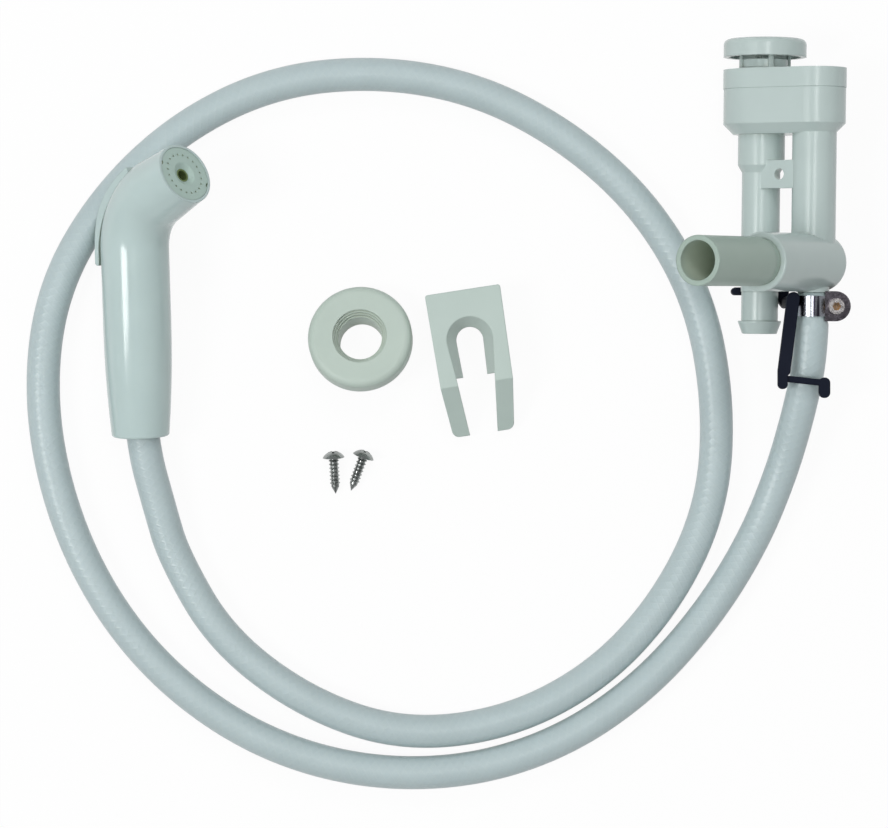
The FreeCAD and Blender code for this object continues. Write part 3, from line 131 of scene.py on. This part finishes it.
def hose_line():
    """Points of the smooth line that the hose follows, read from a NURBS spline."""
    curve = bpy.data.curves.new("hose_line", "CURVE")
    curve.dimensions = "3D"
    curve.resolution_u = HOSE_STEPS
    spline = curve.splines.new("NURBS")
    spline.points.add(len(HOSE_ROUTE_MM) - 1)
    for point, at in zip(spline.points, HOSE_ROUTE_MM):
        point.co = (*(c * MM for c in at), 1.0)
    spline.order_u = 3
    spline.use_endpoint_u = True
    holder = bpy.data.objects.new("hose_line", curve)
    mesh = bpy.data.meshes.new_from_object(holder)
    line = [v.co.copy() for v in mesh.vertices]
    bpy.data.objects.remove(holder)
    bpy.data.curves.remove(curve)
    bpy.data.meshes.remove(mesh)
    return line


def hose_radius(along):
    """The clamp squeezes the hose's first stretch; it widens again below it."""
    share = min(max((along - HOSE_NECK_L) / HOSE_NECK_EASE, 0.0), 1.0)
    ease = share * share * (3 - 2 * share)
    return HOSE_NECK_R + (HOSE_R - HOSE_NECK_R) * ease


def hose_rings(line):
    """The hose's vertices, a ring at each point of its line, and how far along each ring lies."""
    along, side = 0.0, Vector((1, 0, 0))
    verts, lengths = [], []
    for i, at in enumerate(line):
        ahead = line[min(i + 1, len(line) - 1)] - line[max(i - 1, 0)]
        ahead.normalize()
        side = (side - ahead * side.dot(ahead)).normalized()
        up = ahead.cross(side)
        if i:
            along += (at - line[i - 1]).length
        lengths.append(along)
        radius = hose_radius(along)
        for k in range(HOSE_SIDES):
            turn = 2 * math.pi * k / HOSE_SIDES
            verts.append(at + (side * math.cos(turn) + up * math.sin(turn)) * radius)
    return verts, lengths


def hose_mesh(line):
    """A closed tube; its UV map holds metres along the hose and turns round it."""
    verts, lengths = hose_rings(line)
    faces, corners = [], []
    for i in range(len(line) - 1):
        for k in range(HOSE_SIDES):
            n = (k + 1) % HOSE_SIDES
            low, high = i * HOSE_SIDES, (i + 1) * HOSE_SIDES
            faces.append((low + k, low + n, high + n, high + k))
            corners.append([(lengths[i], k / HOSE_SIDES), (lengths[i], (k + 1) / HOSE_SIDES),
                            (lengths[i + 1], (k + 1) / HOSE_SIDES), (lengths[i + 1], k / HOSE_SIDES)])
    last = (len(line) - 1) * HOSE_SIDES
    for ring in (list(range(HOSE_SIDES))[::-1], list(range(last, last + HOSE_SIDES))):
        faces.append(tuple(ring))
        corners.append([(0.0, 0.0)] * HOSE_SIDES)
    mesh = bpy.data.meshes.new("hose_tube")
    mesh.from_pydata(verts, [], faces)
    layer = mesh.uv_layers.new(name=HOSE_UV)
    for polygon, places in zip(mesh.polygons, corners):
        for loop, place in zip(polygon.loop_indices, places):
            layer.data[loop].uv = place
        polygon.use_smooth = len(places) == 4
    mesh.update()
    return mesh


def add_hose():
    line = hose_line()
    hose = bpy.data.objects.new("hose_tube", hose_mesh(line))
    bpy.context.collection.objects.link(hose)
    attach(hose, "kit")
    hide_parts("hose")
    return hose


# ---------------------------------------------------------------- valve spring
def add_spring():
    """The hand spray's valve spring as a mesh of its own, copied from its CAD node; the ends along the
    stem's slide are found but not used.
    """
    node = frame["nodes"]["valve_spring"]
    mesh = node.data.copy()
    mesh.transform(node.matrix_world)
    mesh.materials.clear()
    spring = bpy.data.objects.new("valve_spring_coil", mesh)
    bpy.context.collection.objects.link(spring)
    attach(spring, "kit")
    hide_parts("valve_spring")
    joints = frame["record"]["behaviour"]["joints"]
    slide = next(joint for joint in joints if joint["name"] == "stem_slide")
    axis = Vector(slide["axis"]).normalized()
    far = max((v.co for v in mesh.vertices), key=lambda co: co.dot(axis)).copy()
    near = min((v.co for v in mesh.vertices), key=lambda co: co.dot(axis)).copy()
    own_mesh(spring)
    return spring


# ---------------------------------------------------------------- shader nodes
NOISE_SPAN = (0.3, 0.7)         # the part of a noise pattern's values that is used
HOLLOW_SAMPLES = 6
EDGE_SAMPLES = 6
MIX_FIRST, MIX_SECOND, MIX_RESULT = 6, 7, 2         # a Mix node's sockets for colours


def new_material(name):
    material = bpy.data.materials.new(name)
    material.use_nodes = True
    return material, material.node_tree, material.node_tree.nodes["Principled BSDF"]


def linear(red, green, blue):
    """Scene colour of an 8-bit display colour."""
    def one(value):
        value /= 255
        return value / 12.92 if value <= 0.04045 else ((value + 0.055) / 1.055) ** 2.4
    return (one(red), one(green), one(blue), 1.0)


def feed(tree, value, socket):
    """Links a socket to another node's output, or gives it a plain value."""
    if isinstance(value, bpy.types.NodeSocket):
        tree.links.new(value, socket)
    else:
        socket.default_value = value


def source(shader, name):
    """What one of a shader's inputs is linked to so far."""
    return shader.inputs[name].links[0].from_socket


def position(tree):
    """Place on the piece, in metres."""
    return tree.nodes.new("ShaderNodeTexCoord").outputs["Object"]


def noise(tree, where, scale, detail=3.0, stretch=None):
    """A noise pattern; stretch draws it out along the axes where it is below 1."""
    texture = tree.nodes.new("ShaderNodeTexNoise")
    texture.inputs["Scale"].default_value = scale
    texture.inputs["Detail"].default_value = detail
    if stretch:
        mapping = tree.nodes.new("ShaderNodeMapping")
        mapping.inputs["Scale"].default_value = stretch
        tree.links.new(where, mapping.inputs["Vector"])
        where = mapping.outputs[0]
    tree.links.new(where, texture.inputs["Vector"])
    return texture.outputs["Fac"]


def ranged(tree, value, low, high, span=NOISE_SPAN):
    """Maps the values of span to low and high."""
    node = tree.nodes.new("ShaderNodeMapRange")
    for name, number in zip(("From Min", "From Max", "To Min", "To Max"), (*span, low, high)):
        node.inputs[name].default_value = number
    tree.links.new(value, node.inputs["Value"])
    return node.outputs[0]


def calc(tree, kind, first, second=0.0):
    """One step of arithmetic on numbers or sockets; a sine takes only the first."""
    node = tree.nodes.new("ShaderNodeMath")
    node.operation = kind
    feed(tree, first, node.inputs[0])
    feed(tree, second, node.inputs[1])
    return node.outputs[0]


def mixed(tree, share, first, second):
    """Colour mix; first and second are colours or sockets."""
    node = tree.nodes.new("ShaderNodeMix")
    node.data_type = "RGBA"
    tree.links.new(share, node.inputs["Factor"])
    feed(tree, first, node.inputs[MIX_FIRST])
    feed(tree, second, node.inputs[MIX_SECOND])
    return node.outputs[MIX_RESULT]


def shader_mix(tree, share, first, second):
    """Mix of two shaders; share is a number or a socket."""
    node = tree.nodes.new("ShaderNodeMixShader")
    for value, socket in zip((share, first, second), node.inputs):
        feed(tree, value, socket)
    return node.outputs[0]


def bump(tree, height, distance, strength, under=None):
    node = tree.nodes.new("ShaderNodeBump")
    node.inputs["Distance"].default_value = distance
    node.inputs["Strength"].default_value = strength
    tree.links.new(height, node.inputs["Height"])
    if under:
        tree.links.new(under, node.inputs["Normal"])
    return node.outputs["Normal"]


def openness(tree, reach, low, high, span):
    """How open the surface is within reach, from closed in to open, mapped to low and high."""
    hollow = tree.nodes.new("ShaderNodeAmbientOcclusion")
    hollow.samples = HOLLOW_SAMPLES
    hollow.inputs["Distance"].default_value = reach
    return ranged(tree, hollow.outputs["AO"], low, high, span)


def rounded(tree, radius):
    """Normals that soften the edges by this radius."""
    edge = tree.nodes.new("ShaderNodeBevel")
    edge.samples = EDGE_SAMPLES
    edge.inputs["Radius"].default_value = radius
    return edge.outputs["Normal"]


# ---------------------------------------------------------------- stage
def diffuse(tree, colour):
    node = tree.nodes.new("ShaderNodeBsdfDiffuse")
    node.inputs["Color"].default_value = colour
    return node.outputs[0]


def background_ray(tree):
    """1 for the rays that show the white background: the camera's, mirrored and see-through ones."""
    path = tree.nodes.new("ShaderNodeLightPath").outputs
    direct = calc(tree, "MAXIMUM", path["Is Camera Ray"], path["Is Transmission Ray"])
    return calc(tree, "MAXIMUM", direct, path["Is Glossy Ray"])


def add_floor():
    middle = (cad_low + cad_high) / 2
    mesh = bpy.data.meshes.new("floor")
    mesh.from_pydata([(middle.x + x * FLOOR_REACH, middle.y + y * FLOOR_REACH, FLOOR_Z)
                      for x, y in ((-1, -1), (1, -1), (1, 1), (-1, 1))], [], [(0, 1, 2, 3)])
    floor = bpy.data.objects.new("floor", mesh)
    bpy.context.collection.objects.link(floor)
    material, tree, plain = new_material("floor_white")
    tree.nodes.remove(plain)
    white = tree.nodes.new("ShaderNodeEmission")
    white.inputs["Color"].default_value = WHITE
    seen = shader_mix(tree, FLOOR_WHITE_SHARE, diffuse(tree, WHITE), white.outputs[0])
    shade = diffuse(tree, (FLOOR_SHADE, FLOOR_SHADE, FLOOR_SHADE, 1))
    choice = shader_mix(tree, background_ray(tree), shade, seen)
    tree.links.new(choice, tree.nodes["Material Output"].inputs["Surface"])
    mesh.materials.append(material)


def set_world():
    """An even room, a little darker overhead; the camera sees a plain backdrop in its place."""
    world = bpy.data.worlds.new("studio")
    bpy.context.scene.world = world
    world.use_nodes = True
    tree = world.node_tree
    nodes, link = tree.nodes, tree.links.new
    nodes.clear()
    out = nodes.new("ShaderNodeOutputWorld")
    split = nodes.new("ShaderNodeSeparateXYZ")
    link(nodes.new("ShaderNodeTexCoord").outputs["Generated"], split.inputs[0])
    room = nodes.new("ShaderNodeBackground")
    room.inputs["Color"].default_value = ROOM_COLOUR
    strength = ranged(tree, split.outputs["Z"], WORLD_HORIZON, WORLD_ZENITH, span=(0, 1))
    link(strength, room.inputs["Strength"])
    backdrop = nodes.new("ShaderNodeBackground")
    backdrop.inputs["Color"].default_value = BACKDROP
    by_camera = nodes.new("ShaderNodeLightPath").outputs["Is Camera Ray"]
    choice = shader_mix(tree, by_camera, room.outputs[0], backdrop.outputs[0])
    link(choice, out.inputs["Surface"])


def add_lamps():
    middle = (cad_low + cad_high) / 2
    for name, offset, size, watts, in_gloss in LAMPS:
        data = bpy.data.lights.new(name, "AREA")
        data.shape = "RECTANGLE"
        data.size, data.size_y = size
        data.energy = watts
        lamp = bpy.data.objects.new(name, data)
        at = middle + Vector(offset)
        lamp.location = at
        lamp.rotation_euler = (middle - at).to_track_quat("-Z", "Y").to_euler()
        lamp.visible_glossy = in_gloss
        bpy.context.collection.objects.link(lamp)


# ---------------------------------------------------------------- finishes
def moulded(name, colour, painted_hollow_shading, rough, soft=0.0, reach=9 * MM, shine=0.5, edge=0.8 * MM):
    """Moulded plastic: a faint cloudy tint, a fine ripple in the gloss, soft edges, painted shade in
    its hollows (painted light where the hollow colour is the paler one).
    """
    tint, vary = 2, 0.02                            # in 8-bit steps and in roughness, either way
    cloud_scale, wave_scale, grain_scale = 55, 60, 420
    wave_depth, grain_depth = 0.05 * MM, 0.006 * MM
    wave_strength, grain_strength = 0.35, 0.4
    hollow_span = (0.15, 0.62)                      # of openness, from full painted hollow shading to none
    material, tree, shader = new_material(name)
    where = position(tree)
    deep, pale = (linear(*(c + step for c in colour)) for step in (-tint, tint))
    cloudy = mixed(tree, ranged(tree, noise(tree, where, cloud_scale), 0, 1), deep, pale)
    # painted shade: the more closed in the surface, the more it takes the hollow colour; where that
    # colour is paler it is painted light
    hollow = openness(tree, reach, 1.0, 0.0, hollow_span)
    feed(tree, mixed(tree, hollow, cloudy, linear(*painted_hollow_shading)), shader.inputs["Base Color"])
    grain = noise(tree, where, grain_scale, 4)
    feed(tree, ranged(tree, grain, rough - vary, rough + vary), shader.inputs["Roughness"])
    under = rounded(tree, edge) if edge else None
    wave = bump(tree, noise(tree, where, wave_scale, 1), wave_depth, wave_strength, under)
    feed(tree, bump(tree, grain, grain_depth, grain_strength, wave), shader.inputs["Normal"])
    shader.inputs["IOR"].default_value = 1.5
    shader.inputs["Specular IOR Level"].default_value = shine
    if soft:
        shader.inputs["Subsurface Weight"].default_value = soft
        shader.inputs["Subsurface Radius"].default_value = (1.0, 0.9, 0.75)
        shader.inputs["Subsurface Scale"].default_value = 1.5 * MM
    return material


def vinyl_hose():
    """Milky vinyl over a braid: the threads lift the surface a little and show as paler ticks."""
    material = moulded("hose_vinyl_look", (193, 209, 211), (150, 168, 166), rough=0.33, soft=0.1)
    tree = material.node_tree
    shader = tree.nodes["Principled BSDF"]
    place = tree.nodes.new("ShaderNodeUVMap")
    place.uv_map = HOSE_UV
    split = tree.nodes.new("ShaderNodeSeparateXYZ")
    tree.links.new(place.outputs[0], split.inputs[0])
    length = calc(tree, "MULTIPLY", split.outputs["X"], 2 * math.pi / BRAID_PITCH)
    turn = calc(tree, "MULTIPLY", split.outputs["Y"], 2 * math.pi * BRAID_STARTS)
    threads = []
    for way in ("ADD", "SUBTRACT"):
        crest = calc(tree, "MAXIMUM", calc(tree, "SINE", calc(tree, way, length, turn)), 0.0)
        threads.append(calc(tree, "POWER", crest, BRAID_SHARPNESS))
    braid = calc(tree, "MAXIMUM", *threads)
    raised = bump(tree, braid, BRAID_LIFT, BRAID_LIFT_STRENGTH, source(shader, "Normal"))
    feed(tree, raised, shader.inputs["Normal"])
    share = calc(tree, "MULTIPLY", braid, BRAID_SHARE)
    ticked = mixed(tree, share, source(shader, "Base Color"), linear(*BRAID_COLOUR))
    feed(tree, ticked, shader.inputs["Base Color"])
    return material


def metal(name, colour, rough, dark=0.6):
    """Bright or dull metal with fine scratches in its gloss and darker patches in its colour."""
    scratch_scale, patch_scale, patch_share = 700, 160, 0.6
    scratch_depth, scratch_strength = 0.005 * MM, 0.3
    material, tree, shader = new_material(name)
    where = position(tree)
    scratches = noise(tree, where, scratch_scale, 5)
    base = linear(*colour)
    deep = tuple(c * dark for c in base[:3]) + (1.0,)
    patches = mixed(tree, ranged(tree, noise(tree, where, patch_scale), 0, patch_share), base, deep)
    feed(tree, patches, shader.inputs["Base Color"])
    feed(tree, ranged(tree, scratches, rough * 0.7, rough * 1.5), shader.inputs["Roughness"])
    feed(tree, bump(tree, scratches, scratch_depth, scratch_strength), shader.inputs["Normal"])
    shader.inputs["Metallic"].default_value = 1.0
    return material


def rolled_steel(name, bright, dark, rough):
    """Polished strip with painted reflections: dark and bright streaks in its colour run along the
    hose, as a room's lines do when reflected in a bright band.
    """
    streak_scale, streak_stretch, streak_span = 480, (1, 0.04, 0.2), (0.44, 0.56)
    streak_depth, streak_strength, gloss_scale = 0.01 * MM, 0.3, 1600
    material, tree, shader = new_material(name)
    where = position(tree)
    streaks = noise(tree, where, streak_scale, 3, streak_stretch)
    share = ranged(tree, streaks, 0, 1, streak_span)
    # painted reflection: the colour streaks between the dark and the bright reflected tone
    feed(tree, mixed(tree, share, linear(*dark), linear(*bright)), shader.inputs["Base Color"])
    gloss = ranged(tree, noise(tree, where, gloss_scale, 4), rough * 0.8, rough * 1.3)
    feed(tree, gloss, shader.inputs["Roughness"])
    feed(tree, bump(tree, streaks, streak_depth, streak_strength), shader.inputs["Normal"])
    shader.inputs["Metallic"].default_value = 1.0
    return material


def slotted_head(name, colour, recess):
    """Bright screw head, browner and darker in its slot by how closed in the slot is."""
    reach, span = 2.5 * MM, (0.35, 0.92)
    material = metal(name, colour, rough=0.22)
    tree = material.node_tree
    shader = tree.nodes["Principled BSDF"]
    open_share = openness(tree, reach, 0, 1, span)
    slot_browned = mixed(tree, open_share, linear(*recess), source(shader, "Base Color"))
    feed(tree, slot_browned, shader.inputs["Base Color"])
    return material


def rubber(name, colour):
    """Dark rubber with a fine matt grain."""
    grain_scale, grain_depth, grain_strength, step, matt = 1500, 0.02 * MM, 0.8, 10, (0.55, 0.75)
    material, tree, shader = new_material(name)
    grain = noise(tree, position(tree), grain_scale, 4)
    deep = linear(*(c - step for c in colour))
    speckled = mixed(tree, ranged(tree, grain, 0, 1), deep, linear(*colour))
    feed(tree, speckled, shader.inputs["Base Color"])
    feed(tree, ranged(tree, grain, *matt), shader.inputs["Roughness"])
    feed(tree, bump(tree, grain, grain_depth, grain_strength), shader.inputs["Normal"])
    return material


def finishes():
    """The finish of each CAD node but the hose."""
    # the second colour of each moulded look is painted shade in its hollows
    shell = {"colour": (198, 213, 210), "painted_hollow_shading": (190, 200, 188), "rough": 0.22, "reach": 6 * MM}
    breaker = moulded("breaker_look", **shell)
    lid = moulded("lid_look", edge=0, **shell)      # unrounded, so that its seam stays thin
    # painted light: the pipe's hollow colour is paler than its own, to light up the inside of its
    # mouth
    pipe = moulded("pipe_look", (172, 191, 180), (211, 222, 205), rough=0.42, reach=30 * MM)
    spray = moulded("spray_look", (199, 218, 216), (166, 184, 168), rough=0.15, soft=0.06)
    face = moulded("face_look", (187, 210, 201), (196, 210, 190), rough=0.4)
    ring = moulded("ring_look", (197, 212, 202), (150, 152, 112), rough=0.45, reach=14 * MM)
    fork = moulded("fork_look", (195, 211, 204), (134, 132, 96), rough=0.42, reach=14 * MM)
    # painted shade: the inner parts are a dark olive, the shade seen in the bores and the face's holes
    inner = moulded("inner_look", (120, 140, 84), (40, 48, 24), rough=0.5)
    black = moulded("black_look", (30, 34, 47), (14, 15, 22), rough=0.6, shine=0.06)
    seal = rubber("seal_look", (52, 50, 48))
    chrome = metal("chrome_look", (226, 226, 230), rough=0.12)
    dull = metal("screw_look", (176, 180, 178), rough=0.3, dark=0.3)
    # painted reflection: the band's colour streaks between these bright and dark reflected tones
    band = rolled_steel("band_look", bright=(188, 191, 199), dark=(64, 60, 74), rough=0.22)
    worm_box = metal("worm_box_look", (96, 92, 98), rough=0.2)
    worm = slotted_head("worm_look", (176, 172, 172), recess=(124, 88, 40))
    brass = metal("brass_look", (150, 128, 92), rough=0.3)
    return {
        "breaker_body": breaker, "housing_lid": lid, "lid_gasket": seal, "cap_cage": breaker,
        "air_cap": breaker, "float_valve": inner, "float_seal": seal, "outlet_pipe": pipe,
        "clamp_band": band, "clamp_housing": worm_box, "clamp_screw": worm, "hose_hook": black,
        "spray_handle": spray, "spray_face": face, "jet_insert": inner, "face_seal": seal,
        "thumb_lever": spray, "lever_pin": chrome, "valve_body": inner, "valve_stem": brass,
        "valve_seal": seal, "valve_spring": chrome, "water_tube": inner, "hose_coupling": inner,
        "deck_ring": ring, "wall_holder": fork, "mounting_screw_1": dull, "mounting_screw_2": dull,
    }


def dress(looks):
    for node, material in looks.items():
        for slot in frame["nodes"][node].material_slots:
            slot.material = material


add_camera()
hose = add_hose()
spring = add_spring()
set_world()
add_lamps()
add_floor()
hose.data.materials.append(vinyl_hose())
looks = finishes()
spring.data.materials.append(looks["valve_spring"])
dress(looks)
bpy.context.scene.view_settings.view_transform = "Standard"
